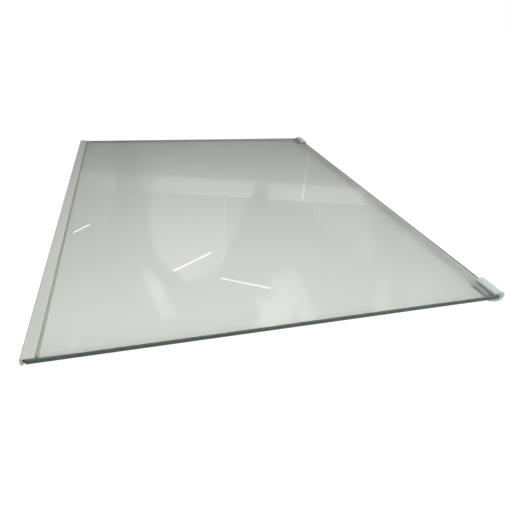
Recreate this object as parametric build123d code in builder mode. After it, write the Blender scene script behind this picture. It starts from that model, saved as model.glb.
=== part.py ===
"""Glass shelf of a refrigerator: a toughened pane, a push-on front trim and two rear corner clips.

Millimetres, +Z up. X runs along the shelf's width, the front faces -Y, and the origin is under
the middle of the shelf, level with the underside of the rear clips.
"""

import os

from build123d import *

# Glass pane
glass_width = 475.0
glass_depth = 360.0
glass_thickness = 4.0
glass_corner_radius = 2.5
glass_edge_radius = 0.7

# Fits between plastic and glass
fit_gap = 0.05
seat_gap = 0.2

# Front trim, an extruded U-profile
trim_inset = 0.3
trim_web = 1.7
trim_wall = 0.8
trim_top_reach = 8.65
trim_bottom_reach = 10.0
trim_nose_radius = 1.2
trim_lip_radius = 0.35
trim_bead = 0.15
trim_notch = 4.0

# Rear clips, moulded
clip_length = 23.6
clip_inset = 1.0
clip_back_wall = 4.1
clip_top_wall = 2.0
clip_bottom_wall = 2.9
clip_top_reach = 6.9
clip_front_radius = 3.0
clip_rear_radius = 8.0
clip_edge_radius = 1.2
lip_run = 1.9
lip_edge = 0.15
lead_in = 0.2
tongue_length = 20.1
tongue_reach = 10.3
tongue_flat = 4.0
tongue_tip = 1.5
collar_width = 2.6
collar_height = 0.35

# Places that the pieces share
clip_slot = glass_thickness + 2 * fit_gap
clip_height = clip_bottom_wall + clip_slot + clip_top_wall
clip_nose_radius = clip_height / 2
clip_depth = clip_back_wall + collar_height
shelf_depth = trim_web + seat_gap + glass_depth + seat_gap + clip_depth

trim_front = -shelf_depth / 2
glass_front = trim_front + trim_web + seat_gap
glass_rear = glass_front + glass_depth
glass_side = glass_width / 2
glass_bottom = clip_bottom_wall + fit_gap
glass_top = glass_bottom + glass_thickness

os.makedirs("parts", exist_ok=True)


with BuildPart() as glass_pane:
    with BuildSketch(Plane.XY.offset(glass_bottom)):
        with Locations((0, glass_front + glass_depth / 2)):
            RectangleRounded(glass_width, glass_depth, glass_corner_radius)
    extrude(amount=glass_thickness)
    # The edge is ground round on both rims
    fillet(glass_pane.faces().filter_by(Axis.Z).edges(), radius=glass_edge_radius)


# The U of the trim: a rounded nose, a long lower flange and a shorter upper one. A bead along
# each lip grips the glass and keeps the rest of the flange off it. At both ends the lower flange is
# notched away up to the glass, which lies bare on the ledges of the cabinet there.
trim_channel = glass_thickness + 2 * (fit_gap + trim_bead)
trim_height = trim_channel + 2 * trim_wall
trim_bottom = glass_bottom - fit_gap - trim_bead - trim_wall
trim_top = trim_bottom + trim_height
trim_length = glass_width - 2 * trim_inset

with BuildPart() as front_trim:
    with BuildSketch(Plane.YZ.offset(-trim_length / 2)) as trim_section:
        with Locations((trim_front, trim_bottom)):
            Rectangle(trim_bottom_reach, trim_height, align=Align.MIN)
        with Locations((trim_front + trim_top_reach, trim_top)):
            Rectangle(
                trim_bottom_reach - trim_top_reach,
                trim_height - trim_wall,
                align=(Align.MIN, Align.MAX),
                mode=Mode.SUBTRACT,
            )
        with Locations((trim_front + trim_web, trim_bottom + trim_wall)):
            Rectangle(
                trim_bottom_reach - trim_web,
                trim_channel,
                align=Align.MIN,
                mode=Mode.SUBTRACT,
            )
        fillet(trim_section.vertices().group_by(Axis.X)[0], radius=trim_nose_radius)
        lip_corners = [
            (trim_front + trim_top_reach, trim_top),
            (trim_front + trim_bottom_reach, trim_bottom),
        ]
        fillet(
            [trim_section.vertices().sort_by_distance(corner)[0] for corner in lip_corners],
            radius=trim_lip_radius,
        )
        beads = [
            (trim_front + trim_top_reach - trim_bead, trim_top - trim_wall),
            (trim_front + trim_bottom_reach - trim_bead, trim_bottom + trim_wall),
        ]
        with Locations(*beads):
            Circle(trim_bead)
    extrude(amount=trim_length)
    with BuildSketch(Plane.XY.offset(trim_bottom)):
        with Locations(
            (-trim_length / 2, trim_front),
            (trim_length / 2 - trim_notch, trim_front),
        ):
            Rectangle(trim_notch, trim_bottom_reach, align=Align.MIN)
    extrude(amount=glass_bottom - trim_bottom, mode=Mode.SUBTRACT)


# The right clip. Its U is extruded along the rear edge: a crowned upper lip, a full-round nose and a
# tapered lower tongue that is shorter than the top. At the outer end the nose stands out as a collar,
# which stops the shelf against the liner. The inner end is rounded in plan.
clip_outer_end = glass_side - clip_inset
clip_inner_end = clip_outer_end - clip_length
collar_start = clip_outer_end - collar_width
clip_front = glass_rear - clip_top_reach
clip_seat = glass_rear + seat_gap
clip_back = clip_seat + clip_back_wall
clip_nose = clip_back - clip_nose_radius
collar_back = clip_back + collar_height
slot_top = glass_top + fit_gap
slot_bottom = glass_bottom - fit_gap
lip_crown = clip_front + lip_run
lip_foot = slot_top + lead_in
tongue_front = glass_rear - tongue_reach

with BuildPart() as clip_plan:
    with BuildSketch() as plan:
        with Locations((clip_outer_end, clip_front)):
            Rectangle(clip_length, collar_back - clip_front, align=(Align.MAX, Align.MIN))
        inner_corners = plan.vertices().group_by(Axis.X)[0].sort_by(Axis.Y)
        fillet(inner_corners[0], radius=clip_front_radius)
        fillet(inner_corners[-1], radius=clip_rear_radius)
    extrude(amount=clip_height)
    top_edges = clip_plan.faces().sort_by(Axis.Z)[-1].edges()
    fillet(top_edges.sort_by(Axis.X)[:-1], radius=clip_edge_radius)
    with BuildSketch():
        with Locations((clip_outer_end, tongue_front)):
            Rectangle(tongue_length, clip_seat - tongue_front, align=(Align.MAX, Align.MIN))
    extrude(amount=slot_bottom)

with BuildPart() as rear_clip_right:
    for start, end, nose in (
        (clip_inner_end, collar_start, clip_nose),
        (collar_start, clip_outer_end, clip_nose + collar_height),
    ):
        with BuildSketch(Plane.YZ.offset(start)):
            with BuildLine():
                Line((nose, clip_height), (lip_crown, clip_height))
                TangentArc(
                    (lip_crown, clip_height),
                    (clip_front, lip_foot + lip_edge),
                    tangent=(-1, 0),
                )
                Polyline(
                    (clip_front, lip_foot + lip_edge),
                    (clip_front, lip_foot),
                    (clip_front + lead_in, slot_top),
                    (clip_seat, slot_top),
                    (clip_seat, slot_bottom),
                    (tongue_front + lead_in, slot_bottom),
                    (tongue_front, slot_bottom - lead_in),
                    (tongue_front, slot_bottom - tongue_tip),
                    (clip_seat - tongue_flat, 0),
                    (nose, 0),
                )
                nose_back = (nose + clip_nose_radius, clip_nose_radius)
                ThreePointArc((nose, 0), nose_back, (nose, clip_height))
            make_face()
        extrude(amount=end - start)
    with BuildSketch():
        with Locations((clip_inner_end, tongue_front)):
            Rectangle(clip_length - tongue_length, clip_seat - tongue_front, align=Align.MIN)
    extrude(amount=slot_bottom, mode=Mode.SUBTRACT)
    add(clip_plan.part, mode=Mode.INTERSECT)


with BuildPart() as rear_clip_left:
    mirror(rear_clip_right.part, about=Plane.YZ)


glass_pane.part.label = "glass_pane"
export_step(glass_pane.part, "parts/glass_pane.step")

front_trim.part.label = "front_trim"
export_step(front_trim.part, "parts/front_trim.step")

rear_clip_right.part.label = "rear_clip_right"
export_step(rear_clip_right.part, "parts/rear_clip_right.step")

rear_clip_left.part.label = "rear_clip_left"
export_step(rear_clip_left.part, "parts/rear_clip_left.step")
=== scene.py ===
# %% [markdown]
# A glass shelf from a refrigerator, lying on a white studio floor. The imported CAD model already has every
# solid at its real size: one pane of toughened glass, a white push-on trim along the front edge and a
# white moulded clip on each rear corner. This lesson leaves those shapes as they are and gives each of
# them the finish of the real thing. Lengths are in metres, X runs along the width, the front faces -Y and
# Z is up.

# %% Load the frame
import math

import bpy
import numpy as np
from mathutils import Matrix, Vector


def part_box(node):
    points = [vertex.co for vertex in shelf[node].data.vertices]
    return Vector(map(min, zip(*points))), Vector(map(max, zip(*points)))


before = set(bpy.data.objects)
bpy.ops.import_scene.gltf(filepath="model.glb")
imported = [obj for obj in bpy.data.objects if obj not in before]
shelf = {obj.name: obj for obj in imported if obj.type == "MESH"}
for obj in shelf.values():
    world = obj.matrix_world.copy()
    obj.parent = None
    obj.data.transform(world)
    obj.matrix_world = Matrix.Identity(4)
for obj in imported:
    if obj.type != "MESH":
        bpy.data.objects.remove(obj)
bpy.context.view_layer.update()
MM = 0.001

# %% [markdown]
# Paint charts and photographs give colours as sRGB hex values, but light adds up in linear values, so one
# function turns a hex value into linear red, green and blue. A second one adds a node to a node tree: it
# takes the settings of the node as keywords and the values or links of its inputs as a dictionary, which
# keeps each material below short enough to read from top to bottom. A Mix node keeps the sockets of all
# its data types in one list, so its two colours and its mixed colour are found by number.


# %% Colour and node helpers
def linear(hex_colour):
    """Linear RGB of an sRGB hex value: v/12.92 up to 0.04045, ((v + 0.055)/1.055)^2.4 above it."""
    v = np.array([int(hex_colour[i:i + 2], 16) for i in (1, 3, 5)]) / 255
    return tuple(np.where(v <= 0.04045, v / 12.92, ((v + 0.055) / 1.055) ** 2.4)) + (1.0,)


def add_node(tree, kind, inputs=(), **settings):
    """A new node of that kind with its settings. inputs maps a socket's name or number to a value or to the
    output socket that feeds it."""
    node = tree.nodes.new(kind)
    for name, value in settings.items():
        setattr(node, name, value)
    for name, value in dict(inputs).items():
        if isinstance(value, bpy.types.NodeSocket):
            tree.links.new(value, node.inputs[name])
        else:
            node.inputs[name].default_value = value
    return node


def new_material(name):
    """An empty node material and its tree."""
    material = bpy.data.materials.new(name)
    material.use_nodes = True
    material.node_tree.nodes.clear()
    return material, material.node_tree


def per_mm(size_mm):
    """Texture scale, in repeats per metre, of a pattern whose features are size_mm apart."""
    return 1 / (size_mm * MM)


FIRST_COLOUR = 6
SECOND_COLOUR = 7
MIXED_COLOUR = 2
print("mid grey #808080 is", [round(c, 3) for c in linear("#808080")[:3]], "in linear light")

# %% [markdown]
# The pane is clear float glass that was cut, ground along its edges and then toughened. Its faces are as
# the float bath left them, so they mirror sharply, more and more as the line of sight flattens, and only
# a wiping cloth has left a breath of haze. The ground edge is matt and sends part of the light back
# instead of passing it. Its colour is the green of the glass, darkened further as painted shade. The two
# could be two materials on two sets of faces, but the CAD mesh stays as it is here, so the normal picks
# the edge: it points up or down on the faces of the pane and sideways on its edge.

# %% Faces and ground edge of the glass
GLASS_IOR = 1.52
GLASS_FACE_COLOUR = "#FDFDFC"
# The ground edge colour is the green of the glass, made darker than that green as painted shade.
GROUND_EDGE_GREEN_AND_SHADE = "#50645A"
GROUND_EDGE_ROUGHNESS = 0.3
GROUND_EDGE_PASSES = 0.4
FACE_NORMAL_Z = 0.9
EDGE_NORMAL_Z = 0.1
WIPE_MARK_MM = 60.0
WIPED_HAZE_ROUGHNESS = 0.02
HAZY_NOISE = (0.45, 0.75)

glass, tree = new_material("toughened_float_glass")
place = add_node(tree, "ShaderNodeTexCoord").outputs["Object"]
normal = add_node(tree, "ShaderNodeNewGeometry").outputs["Normal"]
normal_z = add_node(tree, "ShaderNodeSeparateXYZ", {0: normal}).outputs["Z"]
flatness = add_node(tree, "ShaderNodeMath", {0: normal_z}, operation="ABSOLUTE").outputs[0]
edge = add_node(
    tree, "ShaderNodeMapRange", {"Value": flatness, "From Min": FACE_NORMAL_Z, "From Max": EDGE_NORMAL_Z},
).outputs[0]
wipe = add_node(
    tree, "ShaderNodeTexNoise",
    {"Vector": place, "Scale": per_mm(WIPE_MARK_MM), "Detail": 3.0, "Distortion": 0.6},
).outputs["Fac"]
haze = add_node(
    tree, "ShaderNodeMapRange",
    {
        "Value": wipe, "From Min": HAZY_NOISE[0], "From Max": HAZY_NOISE[1],
        "To Min": 0.0, "To Max": WIPED_HAZE_ROUGHNESS,
    },
).outputs[0]
roughness = add_node(
    tree, "ShaderNodeMix", {"Factor": edge, "A": haze, "B": GROUND_EDGE_ROUGHNESS}, data_type="FLOAT",
).outputs[0]
passes = add_node(
    tree, "ShaderNodeMix", {"Factor": edge, "A": 1.0, "B": GROUND_EDGE_PASSES}, data_type="FLOAT",
).outputs[0]
# Painted shade: the ground edge takes the darkened green, the faces take the clear tint.
glass_tint_and_edge_shade = add_node(
    tree, "ShaderNodeMix",
    {"Factor": edge, FIRST_COLOUR: linear(GLASS_FACE_COLOUR), SECOND_COLOUR: linear(GROUND_EDGE_GREEN_AND_SHADE)},
    data_type="RGBA",
).outputs[MIXED_COLOUR]
surface = add_node(
    tree, "ShaderNodeBsdfPrincipled",
    {"Base Color": glass_tint_and_edge_shade, "Roughness": roughness, "IOR": GLASS_IOR, "Transmission Weight": passes},
)
print("glass surface:", len(tree.nodes), "nodes")

# %% [markdown]
# Looked at squarely the glass is nearly clear, but the iron in it takes a little red and blue from each
# millimetre of way, and along the edge the light has come a long way through it, so the edge looks dark
# green. A volume that absorbs light gives both from one value, and the painted shade in the edge colour
# darkens the edge further. Light that falls through the pane onto the floor is hard to find by chance, so
# rays to the lamps and rays off matt surfaces meet a transparent shader instead of the bending one. The
# ground edge lets little of that light by, so the shader darkens towards the border of the pane, which
# gives the soft dark line that a real pane throws along its edge.

# %% Light through the glass
GLASS_PASSED_COLOUR = "#CAEBD9"
GLASS_ABSORBED_PER_M = 12.0
GLASS_SHADOW_COLOUR = "#F9F9F8"
EDGE_SHADOW_COLOUR = "#2A4A3A"
EDGE_SHADOW_MM = 4.5

glass_low, glass_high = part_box("glass_pane")
middle = (glass_low + glass_high) / 2
half_size = (glass_high - glass_low) / 2
centred = add_node(tree, "ShaderNodeMapping", {"Vector": place, "Location": -middle}).outputs[0]
folded = add_node(tree, "ShaderNodeVectorMath", {0: centred}, operation="ABSOLUTE").outputs[0]
inward = add_node(tree, "ShaderNodeVectorMath", {0: half_size, 1: folded}, operation="SUBTRACT").outputs[0]
to_border = add_node(tree, "ShaderNodeSeparateXYZ", {0: inward}).outputs
nearest = add_node(
    tree, "ShaderNodeMath", {0: to_border["X"], 1: to_border["Y"]}, operation="MINIMUM",
).outputs[0]
rim = add_node(
    tree, "ShaderNodeMapRange", {"Value": nearest, "From Min": EDGE_SHADOW_MM * MM, "From Max": 0.0},
).outputs[0]
dimmed = add_node(tree, "ShaderNodeMath", {0: rim, 1: edge}, operation="MAXIMUM").outputs[0]
shade = add_node(
    tree, "ShaderNodeMix",
    {"Factor": dimmed, FIRST_COLOUR: linear(GLASS_SHADOW_COLOUR), SECOND_COLOUR: linear(EDGE_SHADOW_COLOUR)},
    data_type="RGBA",
).outputs[MIXED_COLOUR]
clear = add_node(tree, "ShaderNodeBsdfTransparent", {"Color": shade})
ray = add_node(tree, "ShaderNodeLightPath").outputs
mixed = surface
for kind in ("Is Shadow Ray", "Is Diffuse Ray"):
    mixed = add_node(tree, "ShaderNodeMixShader", {0: ray[kind], 1: mixed.outputs[0], 2: clear.outputs[0]})
body = add_node(
    tree, "ShaderNodeVolumeAbsorption",
    {"Color": linear(GLASS_PASSED_COLOUR), "Density": GLASS_ABSORBED_PER_M},
)
add_node(tree, "ShaderNodeOutputMaterial", {"Surface": mixed.outputs[0], "Volume": body.outputs[0]})
print("glass:", len(tree.nodes), "nodes, pane in mm:", [round(2 * s / MM, 2) for s in half_size])

# %% [markdown]
# The trim is a white PVC profile, pushed out of a heated die as one long U and cut to the width of the
# pane. The die leaves faint lines that run the whole length, and the surface comes out satin, so a light
# smears along the profile. A wave texture would make even stripes, but die lines are uneven, so a noise
# texture is stretched a hundredfold along X. It drives the bump, the roughness and a hint of colour
# together. Real die lines are finer than these, which are as coarse as they need to be to show.

# %% Extruded white PVC
PVC_COLOUR = "#BABDB6"
PVC_LINE_COLOUR = "#B2B5AE"
PVC_IOR = 1.53
PVC_ROUGHNESS = (0.34, 0.46)
DIE_LINE_MM = 0.9
DIE_LINE_STRETCH = 0.01
DIE_LINE_DEPTH_MM = 0.03
USUAL_NOISE = (0.3, 0.7)

pvc, tree = new_material("extruded_white_pvc")
place = add_node(tree, "ShaderNodeTexCoord").outputs["Object"]
along = add_node(
    tree, "ShaderNodeMapping", {"Vector": place, "Scale": (DIE_LINE_STRETCH, 1.0, 1.0)},
).outputs[0]
lines = add_node(
    tree, "ShaderNodeTexNoise", {"Vector": along, "Scale": per_mm(DIE_LINE_MM), "Detail": 2.0},
).outputs["Fac"]
colour = add_node(
    tree, "ShaderNodeMix",
    {"Factor": lines, FIRST_COLOUR: linear(PVC_COLOUR), SECOND_COLOUR: linear(PVC_LINE_COLOUR)},
    data_type="RGBA",
).outputs[MIXED_COLOUR]
satin = add_node(
    tree, "ShaderNodeMapRange",
    {
        "Value": lines, "From Min": USUAL_NOISE[0], "From Max": USUAL_NOISE[1],
        "To Min": PVC_ROUGHNESS[0], "To Max": PVC_ROUGHNESS[1],
    },
).outputs[0]
bump = add_node(
    tree, "ShaderNodeBump", {"Height": lines, "Distance": DIE_LINE_DEPTH_MM * MM, "Strength": 0.5},
).outputs[0]
surface = add_node(
    tree, "ShaderNodeBsdfPrincipled",
    {"Base Color": colour, "Roughness": satin, "IOR": PVC_IOR, "Normal": bump},
)
add_node(tree, "ShaderNodeOutputMaterial", {"Surface": surface.outputs[0]})
print("trim plastic:", len(tree.nodes), "nodes, die lines", DIE_LINE_MM, "mm apart")

# %% [markdown]
# The clips are injection moulded in a white styrene plastic. The steel of the mould was eroded by sparks,
# which leaves a fine even grain on the part: it scatters the highlight without hiding the shape. A grain
# of real faces would need millions of them, so a noise texture drives the bump and the roughness instead.
# It is drawn coarser than the real grain so that it shows at all, and a slow second noise stands for the
# flow of the melt.

# %% Moulded white styrene
STYRENE_COLOUR = "#BAC1BE"
STYRENE_FLOW_COLOUR = "#B3BAB7"
STYRENE_IOR = 1.56
STYRENE_ROUGHNESS = (0.32, 0.44)
MOULD_GRAIN_MM = 0.5
MOULD_GRAIN_DEPTH_MM = 0.02
FLOW_MARK_MM = 7.0

styrene, tree = new_material("moulded_white_styrene")
place = add_node(tree, "ShaderNodeTexCoord").outputs["Object"]
grain = add_node(
    tree, "ShaderNodeTexNoise", {"Vector": place, "Scale": per_mm(MOULD_GRAIN_MM), "Detail": 2.0},
).outputs["Fac"]
flow = add_node(
    tree, "ShaderNodeTexNoise", {"Vector": place, "Scale": per_mm(FLOW_MARK_MM), "Detail": 1.0},
).outputs["Fac"]
colour = add_node(
    tree, "ShaderNodeMix",
    {"Factor": flow, FIRST_COLOUR: linear(STYRENE_COLOUR), SECOND_COLOUR: linear(STYRENE_FLOW_COLOUR)},
    data_type="RGBA",
).outputs[MIXED_COLOUR]
satin = add_node(
    tree, "ShaderNodeMapRange",
    {
        "Value": grain, "From Min": USUAL_NOISE[0], "From Max": USUAL_NOISE[1],
        "To Min": STYRENE_ROUGHNESS[0], "To Max": STYRENE_ROUGHNESS[1],
    },
).outputs[0]
bump = add_node(
    tree, "ShaderNodeBump", {"Height": grain, "Distance": MOULD_GRAIN_DEPTH_MM * MM, "Strength": 0.4},
).outputs[0]
surface = add_node(
    tree, "ShaderNodeBsdfPrincipled",
    {"Base Color": colour, "Roughness": satin, "IOR": STYRENE_IOR, "Normal": bump},
)
add_node(tree, "ShaderNodeOutputMaterial", {"Surface": surface.outputs[0]})
print("clip plastic:", len(tree.nodes), "nodes, grain of", MOULD_GRAIN_MM, "mm")

# %% [markdown]
# Each CAD piece came in with a plain material in its first slot. The finished one takes that place, and
# the mesh itself isn't touched.

# %% Dress the pieces
FINISHES = {
    "glass_pane": glass,
    "front_trim": pvc,
    "rear_clip_right": styrene,
    "rear_clip_left": styrene,
}
for name, material in FINISHES.items():
    shelf[name].data.materials.clear()
    shelf[name].data.materials.append(material)
print("dressed:", {name: material.name for name, material in FINISHES.items()})

# %% [markdown]
# The shelf lies on its trim and its two clips. The trim reaches less far down than the clips, so a shelf
# on a level floor leans by about a third of a degree. The frame stays level here, so the floor leans
# instead: it is the plane that passes just under both.


# %% Studio floor
def leaning_floor(half_size, low_y, low_z, high_y, high_z):
    """Corner points and the one face of the plane z = low_z + slope (y - low_y), for x and y from -half_size
    to half_size, where slope is the rise from the low to the high point over their distance in y."""
    slope = (high_z - low_z) / (high_y - low_y)
    x, y = np.meshgrid((-half_size, half_size), (-half_size, half_size))
    z = low_z + slope * (y - low_y)
    corners = np.stack((x, y, z), axis=-1).reshape(-1, 3)
    return corners, [(0, 1, 3, 2)]


FLOOR_HALF_SIZE = 40.0
FLOOR_CLEARANCE = 0.02 * MM
trim_low, trim_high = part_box("front_trim")
clip_low, clip_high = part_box("rear_clip_right")
clip_middle_y = (clip_low.y + clip_high.y) / 2
corners, faces = leaning_floor(
    FLOOR_HALF_SIZE, clip_middle_y, clip_low.z - FLOOR_CLEARANCE, trim_low.y, trim_low.z - FLOOR_CLEARANCE,
)
floor_mesh = bpy.data.meshes.new("studio_floor")
floor_mesh.from_pydata(corners.tolist(), [], faces)
floor = bpy.data.objects.new("studio_floor", floor_mesh)
bpy.context.scene.collection.objects.link(floor)
lean = math.atan((trim_low.z - clip_low.z) / (clip_middle_y - trim_low.y))
print("floor leans by", round(math.degrees(lean), 3), "degrees")

# %% [markdown]
# A product picture has a pure white ground, yet the board under a clear pane still shows its own light
# grey through the glass. So the floor is a matt board for all rays but those straight from the camera,
# which see it mostly as plain white light. A small share of the board is left in, but only a very deep
# shadow would show there.

# %% Matt white board
FLOOR_COLOUR = "#D0D0CE"
FLOOR_WHITE_SHARE = 0.8
FLOOR_WHITE_STRENGTH = 1.2

board, tree = new_material("matt_white_board")
surface = add_node(
    tree, "ShaderNodeBsdfPrincipled",
    {"Base Color": linear(FLOOR_COLOUR), "Roughness": 0.9, "Specular IOR Level": 0.1},
)
white = add_node(tree, "ShaderNodeEmission", {"Strength": FLOOR_WHITE_STRENGTH})
seen = add_node(tree, "ShaderNodeLightPath").outputs["Is Camera Ray"]
share = add_node(tree, "ShaderNodeMath", {0: seen, 1: FLOOR_WHITE_SHARE}, operation="MULTIPLY").outputs[0]
mixed = add_node(tree, "ShaderNodeMixShader", {0: share, 1: surface.outputs[0], 2: white.outputs[0]})
add_node(tree, "ShaderNodeOutputMaterial", {"Surface": mixed.outputs[0]})
floor_mesh.materials.append(board)
print("board:", len(tree.nodes), "nodes")

# %% [markdown]
# Glass shows what is around it, so the shelf stands in a plain square studio. Real walls could be
# modelled, but a world shader does without their meshes: it turns each direction into a place on a wall.
# A direction's larger share, towards the facing wall or a side wall, says which wall it meets. Dividing
# by that share gives how far along the wall and how high up it the place is, in lengths of the way to the
# wall. Adding both shares before they are divided shifts the place along the wall by 1 on the facing wall
# and the wall behind the shelf, and by -1 on the other two, so a pattern can tell these pairs apart.

# %% Places on the studio walls
ROOM_TURN = math.radians(16.0)
FACING_WALL = (-math.cos(ROOM_TURN), math.sin(ROOM_TURN), 0.0)
SIDE_WALL = (math.sin(ROOM_TURN), math.cos(ROOM_TURN), 0.0)

world = bpy.data.worlds.new("studio_room")
world.use_nodes = True
tree = world.node_tree
tree.nodes.clear()
way = add_node(tree, "ShaderNodeTexCoord").outputs["Generated"]
way_up = add_node(tree, "ShaderNodeSeparateXYZ", {0: way}).outputs["Z"]
ahead = add_node(
    tree, "ShaderNodeVectorMath", {0: way, 1: FACING_WALL}, operation="DOT_PRODUCT",
).outputs["Value"]
across = add_node(
    tree, "ShaderNodeVectorMath", {0: way, 1: SIDE_WALL}, operation="DOT_PRODUCT",
).outputs["Value"]
far_ahead = add_node(tree, "ShaderNodeMath", {0: ahead}, operation="ABSOLUTE").outputs[0]
far_across = add_node(tree, "ShaderNodeMath", {0: across}, operation="ABSOLUTE").outputs[0]
reach = add_node(tree, "ShaderNodeMath", {0: far_ahead, 1: far_across}, operation="MAXIMUM").outputs[0]
both = add_node(tree, "ShaderNodeMath", {0: ahead, 1: across}, operation="ADD").outputs[0]
along_wall = add_node(tree, "ShaderNodeMath", {0: both, 1: reach}, operation="DIVIDE").outputs[0]
up_wall = add_node(tree, "ShaderNodeMath", {0: way_up, 1: reach}, operation="DIVIDE").outputs[0]
print("room turned by", round(math.degrees(ROOM_TURN), 1), "degrees")

# %% [markdown]
# The walls are dim near the floor and pale higher up, with one pale rail between, and the ceiling is grey
# again. The far part of the pane is seen at a flat angle, so it mirrors the low dim wall, and the near
# part mirrors the pale wall above. A colour ramp over the angle up the wall holds all of that in a few
# stops.

# %% Wall colours
WALL_COLOURS_BY_DEGREES = {
    10: "#545452", 15: "#686866", 18: "#6E6E6C", 20.6: "#848482",
    20.8: "#C0C0BD", 22.6: "#C8C8C5",
    22.8: "#868683", 27: "#989895", 34: "#C4C4C1", 40: "#FFFFFD",
    60: "#949492",
}
RIGHT_ANGLE = 90

rise = add_node(tree, "ShaderNodeMath", {0: up_wall}, operation="ARCTANGENT").outputs[0]
rise_share = add_node(
    tree, "ShaderNodeMath", {0: rise, 1: 1 / math.radians(RIGHT_ANGLE)}, operation="MULTIPLY",
).outputs[0]
bands = add_node(tree, "ShaderNodeValToRGB", {"Fac": rise_share})
stops = bands.color_ramp.elements
while len(stops) < len(WALL_COLOURS_BY_DEGREES):
    stops.new(1.0)
for stop, (degrees, colour) in zip(stops, WALL_COLOURS_BY_DEGREES.items()):
    stop.position = degrees / RIGHT_ANGLE
    stop.color = linear(colour)
print("wall colours at", list(WALL_COLOURS_BY_DEGREES), "degrees")

# %% [markdown]
# Bare walls would leave the pane looking like satin plastic, because nothing sharp shows in it. So the
# walls are clad in tall panels of uneven grey with pale joints, which a brick texture lays out, and only
# the facing wall and the one behind the shelf are lit in the middle. Panels and light fade out below the
# ceiling.

# %% Wall panels and the lit middle
PANEL_WIDTH = 0.25
PANEL_HEIGHT = 0.8
PANEL_SHIFT = (0.06, 0.38, 0.0)
PANEL_JOINT = 0.003
PANEL_ROW_OFFSET = 0.4
PANEL_ROW_SQUASH = 3.0
PANEL_LEVELS = (0.65, 1.2)
JOINT_LEVEL = 1.35
LIT_MIDDLE = 1.05
LIT_REACH = (0.26, 0.5)
UNLIT_LEVEL = 0.3
CEILING_RISE = (0.55, 0.85)
PLAIN = (1.0, 1.0, 1.0, 1.0)

on_wall = add_node(tree, "ShaderNodeCombineXYZ", {"X": along_wall, "Y": up_wall}).outputs[0]
shifted = add_node(tree, "ShaderNodeMapping", {"Vector": on_wall, "Location": PANEL_SHIFT}).outputs[0]
panels = add_node(
    tree, "ShaderNodeTexBrick",
    {
        "Vector": shifted, "Scale": 1.0, "Brick Width": PANEL_WIDTH, "Row Height": PANEL_HEIGHT,
        "Mortar Size": PANEL_JOINT, "Mortar Smooth": 0.5,
        "Color1": (PANEL_LEVELS[0],) * 3 + (1.0,),
        "Color2": (PANEL_LEVELS[1],) * 3 + (1.0,),
        "Mortar": (JOINT_LEVEL,) * 3 + (1.0,),
    },
    offset=PANEL_ROW_OFFSET, squash=PANEL_ROW_SQUASH,
).outputs["Color"]
aside = add_node(tree, "ShaderNodeMath", {0: along_wall, 1: LIT_MIDDLE}, operation="SUBTRACT").outputs[0]
apart = add_node(tree, "ShaderNodeMath", {0: aside}, operation="ABSOLUTE").outputs[0]
lit = add_node(
    tree, "ShaderNodeMapRange",
    {
        "Value": apart, "From Min": LIT_REACH[0], "From Max": LIT_REACH[1],
        "To Min": 1.0, "To Max": UNLIT_LEVEL,
    },
    interpolation_type="SMOOTHSTEP",
).outputs[0]
clad = add_node(tree, "ShaderNodeVectorMath", {0: panels, "Scale": lit}, operation="SCALE").outputs[0]
overhead = add_node(
    tree, "ShaderNodeMapRange", {"Value": up_wall, "From Min": CEILING_RISE[0], "From Max": CEILING_RISE[1]},
).outputs[0]
panel_level = add_node(
    tree, "ShaderNodeMix", {"Factor": overhead, FIRST_COLOUR: clad, SECOND_COLOUR: PLAIN}, data_type="RGBA",
).outputs[MIXED_COLOUR]
print("panels:", PANEL_WIDTH, "by", PANEL_HEIGHT, "of the way to the wall")

# %% [markdown]
# Light never falls evenly on a wall, so a tall slow noise makes soft patches. The right side, where the
# camera stands, is paler, because it lights the edge and the clip end that face the camera. The camera
# itself looks past the floor into plain white.

# %% Patches, camera side and backdrop
PATCH_LEVELS = (0.4, 1.35)
PATCH_NOISE = (0.44, 0.56)
PATCHES_PER_RADIAN = 5.0
PATCH_STRETCH = 0.45
CAMERA_SIDE_TURN = math.radians(45.6)
CAMERA_SIDE = (math.cos(CAMERA_SIDE_TURN), math.sin(CAMERA_SIDE_TURN), 0.0)
CAMERA_SIDE_FADE = (-0.2, 0.6)
CAMERA_SIDE_COLOUR = "#D4D6D4"

tall = add_node(tree, "ShaderNodeMapping", {"Vector": way, "Scale": (1.0, 1.0, PATCH_STRETCH)}).outputs[0]
patches = add_node(
    tree, "ShaderNodeTexNoise",
    {"Vector": tall, "Scale": PATCHES_PER_RADIAN, "Detail": 2.0, "Distortion": 0.6},
).outputs["Fac"]
patch_level = add_node(
    tree, "ShaderNodeMapRange",
    {
        "Value": patches, "From Min": PATCH_NOISE[0], "From Max": PATCH_NOISE[1],
        "To Min": PATCH_LEVELS[0], "To Max": PATCH_LEVELS[1],
    },
    interpolation_type="SMOOTHSTEP",
).outputs[0]
level = add_node(tree, "ShaderNodeMath", {0: patch_level, 1: panel_level}, operation="MULTIPLY").outputs[0]
wall = add_node(
    tree, "ShaderNodeVectorMath", {0: bands.outputs["Color"], "Scale": level}, operation="SCALE",
).outputs[0]
towards = add_node(
    tree, "ShaderNodeVectorMath", {0: way, 1: CAMERA_SIDE}, operation="DOT_PRODUCT",
).outputs["Value"]
beside = add_node(
    tree, "ShaderNodeMapRange",
    {"Value": towards, "From Min": CAMERA_SIDE_FADE[0], "From Max": CAMERA_SIDE_FADE[1]},
    interpolation_type="SMOOTHSTEP",
).outputs[0]
around = add_node(
    tree, "ShaderNodeMix",
    {"Factor": beside, FIRST_COLOUR: wall, SECOND_COLOUR: linear(CAMERA_SIDE_COLOUR)},
    data_type="RGBA", blend_type="LIGHTEN",
).outputs[MIXED_COLOUR]
room = add_node(tree, "ShaderNodeBackground", {"Color": around})
backdrop = add_node(tree, "ShaderNodeBackground", {"Color": PLAIN})
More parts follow.
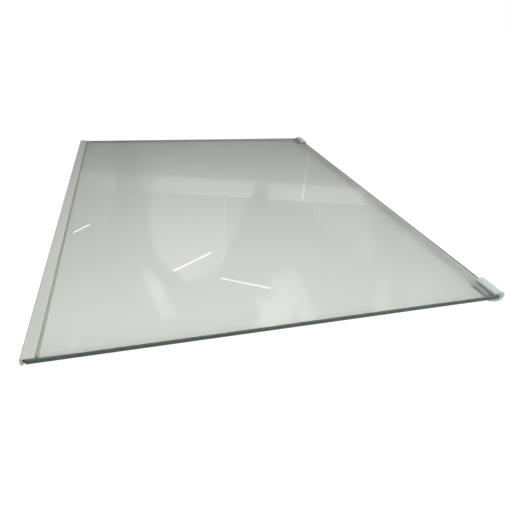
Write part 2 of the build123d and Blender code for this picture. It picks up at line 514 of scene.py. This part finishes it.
seen = add_node(tree, "ShaderNodeLightPath").outputs["Is Camera Ray"]
mixed = add_node(tree, "ShaderNodeMixShader", {0: seen, 1: room.outputs[0], 2: backdrop.outputs[0]})
add_node(tree, "ShaderNodeOutputWorld", {"Surface": mixed.outputs[0]})
bpy.context.scene.world = world
print("room:", len(tree.nodes), "nodes")

# %% [markdown]
# Three softboxes light the shelf. A small one hangs over the near part, so the light falls off towards
# the far side. A tall one stands behind the shelf, and the faces that turn away from it are shaded. A
# weak and cool one on the right lifts the edge and the clip end that face the camera. Area lights do for
# softboxes, because they cast soft shadows and show in the glass as bright panels.


# %% Softboxes
def studio_lamp(name, place, aim, size, watts, turn_deg=0.0, colour="#FFFFFF"):
    """An area light of size (x, y) at place that faces aim, turned about the line between them."""
    lamp = bpy.data.lights.new(name, "AREA")
    lamp.shape = "RECTANGLE"
    lamp.size, lamp.size_y = size
    lamp.energy = watts
    lamp.color = linear(colour)[:3]
    holder = bpy.data.objects.new(name, lamp)
    look = (Vector(aim) - Vector(place)).to_track_quat("-Z", "Y").to_matrix().to_4x4()
    holder.matrix_world = Matrix.Translation(place) @ look @ Matrix.Rotation(math.radians(turn_deg), 4, "Z")
    bpy.context.scene.collection.objects.link(holder)


SOFTBOXES = {
    "near_softbox": {
        "place": (0.22, -0.05, 0.5), "aim": (0.22, -0.05, 0.0), "size": (0.4, 0.4), "watts": 2.0,
    },
    "side_softbox": {
        "place": (0.8, 0.25, 0.3), "aim": (0.24, 0.15, 0.0), "size": (0.4, 0.3), "watts": 0.5,
        "colour": "#D2EAFF",
    },
    "rear_softbox": {
        "place": (0.3, 0.95, 0.65), "aim": (0.1, 0.15, 0.0), "size": (1.0, 1.1), "watts": 5.5,
    },
}
for name, softbox in SOFTBOXES.items():
    studio_lamp(name, **softbox)
print("softboxes:", {name: softbox["watts"] for name, softbox in SOFTBOXES.items()}, "watts")

# %% [markdown]
# Three thin strip lamps hang under the ceiling. They add hardly any light. The pane mirrors them as short
# bright lines, which tell the eye how flat and how glossy it is.

# %% Strip lamps
STRIP_HEIGHT = 1.0
STRIP_WIDTH = 0.008
STRIP_WATTS_PER_M = 0.1
STRIPS = {
    "front_strip": {"x": -1.93, "y": -0.445, "length": 0.126, "turn_deg": 139},
    "middle_strip": {"x": -1.45, "y": 0.15, "length": 0.274, "turn_deg": 124},
    "rear_strip": {"x": -1.2, "y": 0.377, "length": 0.261, "turn_deg": 60},
}
for name, strip in STRIPS.items():
    studio_lamp(
        name, (strip["x"], strip["y"], STRIP_HEIGHT), (strip["x"], strip["y"], 0.0),
        (strip["length"], STRIP_WIDTH), strip["length"] * STRIP_WATTS_PER_M, strip["turn_deg"],
    )
print("strip lamps:", {name: strip["length"] for name, strip in STRIPS.items()}, "metres long")

# %% [markdown]
# The camera stands low beside the right edge and looks across the pane, with its right side tipped up a
# little. Its place was worked out from the four corners of the pane in the photograph.

# %% Camera
CAMERA_PLACE_MM = (448.524, -105.287, 198.556)
CAMERA_AIM_MM = (140.306, -7.723, 6.95)
CAMERA_ROLL_DEG = 4.092
CAMERA_LENS_MM = 29.235
CAMERA_CLIP_START = 0.01

camera = bpy.data.objects.new("camera", bpy.data.cameras.new("camera"))
camera.data.lens = CAMERA_LENS_MM
camera.data.clip_start = CAMERA_CLIP_START
place = Vector(CAMERA_PLACE_MM) * MM
to_aim = Vector(CAMERA_AIM_MM) * MM - place
look = to_aim.to_track_quat("-Z", "Y").to_matrix().to_4x4()
roll = Matrix.Rotation(math.radians(CAMERA_ROLL_DEG), 4, "Z")
camera.matrix_world = Matrix.Translation(place) @ look @ roll
bpy.context.scene.collection.objects.link(camera)
bpy.context.scene.camera = camera
print("camera is", round(to_aim.length, 3), "m from its aim")

# %% [markdown]
# The picture is shown as the light adds up, without a film curve, so that white plastic and pale floor
# keep the values of the photograph. Light crosses the pane many times along its edge, so paths may be
# longer than usual. The bright specks that light bent by the glass would leave on the floor are switched
# off.

# %% Picture
LONGEST_PATH = 32
GLASS_CROSSINGS = 24

scene = bpy.context.scene
scene.view_settings.view_transform = "Standard"
scene.cycles.max_bounces = LONGEST_PATH
scene.cycles.transmission_bounces = GLASS_CROSSINGS
scene.cycles.transparent_max_bounces = GLASS_CROSSINGS
scene.cycles.caustics_reflective = False
scene.cycles.caustics_refractive = False
print("picture:", scene.view_settings.view_transform, "view, up to", LONGEST_PATH, "bounces")
